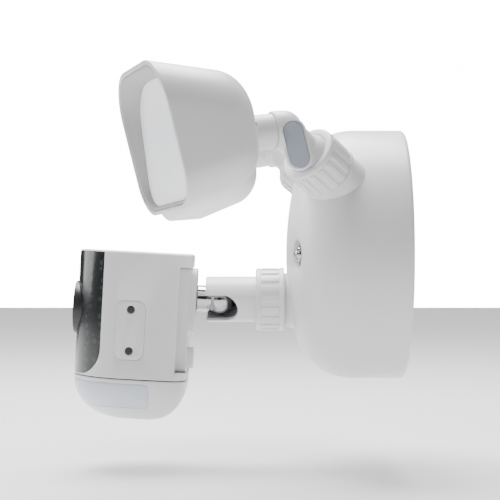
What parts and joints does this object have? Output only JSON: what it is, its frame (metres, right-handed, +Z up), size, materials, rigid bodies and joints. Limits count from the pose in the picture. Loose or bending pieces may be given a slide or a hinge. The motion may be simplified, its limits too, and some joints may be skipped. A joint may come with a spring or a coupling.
{
  "type": "floodlight security camera",
  "caption": "Wall light with hooded lamps on ball-jointed arms and a slotted-socket camera with a motion sensor on a round domed base.",
  "frame": {"origin": "centre of the base's rear face, on the wall plane", "axes": "+Z up, -Y out from the wall towards the viewer, +X along the wall; the base and camera are symmetric about X = 0"},
  "size_m": [0.296, 0.1969, 0.1985],
  "materials": {
    "white_plastic": "satin",
    "cover_plastic": "matt",
    "foam": "matt",
    "zinc_steel": "satin",
    "chrome": "polished",
    "green_steel": "satin",
    "board": "satin",
    "winding": "satin",
    "can": "satin",
    "terminal": "satin",
    "rubber": "matt",
    "grey_plastic": "matt",
    "spring_steel": "satin",
    "black_gloss": "polished",
    "lens": "polished",
    "black_plastic": "matt",
    "ir_led": "polished",
    "milky": "satin",
    "dark_steel": "satin",
    "cap_grey": "satin",
    "warm_plastic": "matt",
    "reflector": "polished",
    "led_board": "satin",
    "aluminium": "satin"
  },
  "bodies": {
    "base": {"base_housing": "white_plastic", "back_cover": "cover_plastic", "wall_gasket": "foam", "mount_bracket": "zinc_steel", "bracket_studs": "zinc_steel", "cap_nuts": "chrome", "ground_screw": "green_steel", "cover_screws": "zinc_steel", "driver_board": "board", "transformer": "winding", "filter_capacitors": "can", "terminal_block": "terminal", "lead_grommet": "rubber"},
    "left_nut": {"left_lock_nut": "white_plastic"},
    "right_nut": {"right_lock_nut": "white_plastic"},
    "camera_nut": {"camera_lock_nut": "white_plastic"},
    "left_seat": {"left_ball_seat": "grey_plastic"},
    "right_seat": {"right_ball_seat": "grey_plastic"},
    "left_lamp": {"left_arm": "white_plastic", "left_arm_cap": "cap_grey", "left_lamp_shell": "white_plastic", "left_front_frame": "warm_plastic", "left_diffuser": "milky", "left_reflector": "reflector", "left_led_board": "led_board", "left_heat_sink": "aluminium", "left_lamp_screws": "zinc_steel"},
    "right_lamp": {"right_arm": "white_plastic", "right_arm_cap": "cap_grey", "right_lamp_shell": "white_plastic", "right_front_frame": "warm_plastic", "right_diffuser": "milky", "right_reflector": "reflector", "right_led_board": "led_board", "right_heat_sink": "aluminium", "right_lamp_screws": "zinc_steel"},
    "socket": {"camera_socket": "white_plastic", "socket_liner": "grey_plastic"},
    "stem": {"ball_stem": "chrome", "stem_clip": "spring_steel"},
    "camera": {"camera_bracket": "white_plastic", "bracket_screws": "zinc_steel", "camera_shell": "white_plastic", "front_panel": "black_gloss", "lens_bezel": "black_gloss", "lens_glass": "lens", "lens_barrel": "black_plastic", "infrared_leds": "ir_led", "main_board": "board", "image_sensor": "board", "speaker": "black_plastic", "pir_window": "milky", "pir_sensor": "can", "bottom_cap": "white_plastic", "cap_seal": "rubber", "side_cover": "white_plastic", "side_cover_screws": "dark_steel", "card_reader": "can", "wifi_antenna": "board"},
    "reset": {"reset_button": "cover_plastic"}
  },
  "joints": [
    {"name": "right_nut_turn", "type": "hinge", "parent": "base", "child": "right_nut", "pos_m": [0.056, -0.0463, 0.0451], "axis": [0.6, -0.613, 0.514], "range_deg": [0, 300]},
    {"name": "left_nut_turn", "type": "hinge", "parent": "base", "child": "left_nut", "pos_m": [-0.056, -0.0463, 0.0451], "axis": [-0.6, -0.613, 0.514], "range_deg": [0, 300]},
    {"name": "camera_nut_turn", "type": "hinge", "parent": "base", "child": "camera_nut", "pos_m": [0, -0.071, -0.027], "axis": [0, -1, 0], "range_deg": [0, 300]},
    {"name": "right_lamp_swivel", "type": "hinge", "parent": "base", "child": "right_seat", "pos_m": [0.06638, -0.0569, 0.05399], "axis": [0.6, -0.613, 0.514], "range_deg": [-20, 30]},
    {"name": "right_lamp_tilt", "type": "hinge", "parent": "right_seat", "child": "right_lamp", "pos_m": [0.06638, -0.0569, 0.05399], "axis": [-0.9397, -0.342, 0], "range_deg": [0, 22]},
    {"name": "left_lamp_swivel", "type": "hinge", "parent": "base", "child": "left_seat", "pos_m": [-0.06638, -0.0569, 0.05399], "axis": [-0.6, -0.613, 0.514], "range_deg": [-30, 20]},
    {"name": "left_lamp_tilt", "type": "hinge", "parent": "left_seat", "child": "left_lamp", "pos_m": [-0.06638, -0.0569, 0.05399], "axis": [-0.9397, 0.342, 0], "range_deg": [0, 22]},
    {"name": "socket_swivel", "type": "hinge", "parent": "base", "child": "socket", "pos_m": [0, -0.1095, -0.027], "axis": [0, -1, 0], "range_deg": [-45, 45]},
    {"name": "stem_swing", "type": "hinge", "parent": "socket", "child": "stem", "pos_m": [0, -0.1095, -0.027], "axis": [0.4695, 0, 0.8829], "range_deg": [0, 40]},
    {"name": "camera_roll", "type": "hinge", "parent": "stem", "child": "camera", "pos_m": [0, -0.1095, -0.027], "axis": [0, -0.9986, 0.0523], "range_deg": [-45, 45]},
    {"name": "reset_press", "type": "slide", "parent": "camera", "child": "reset", "axis": [-1, 0, 0], "range_m": [0, 0.0008], "stiffness_N_per_m": 300}
  ]
}
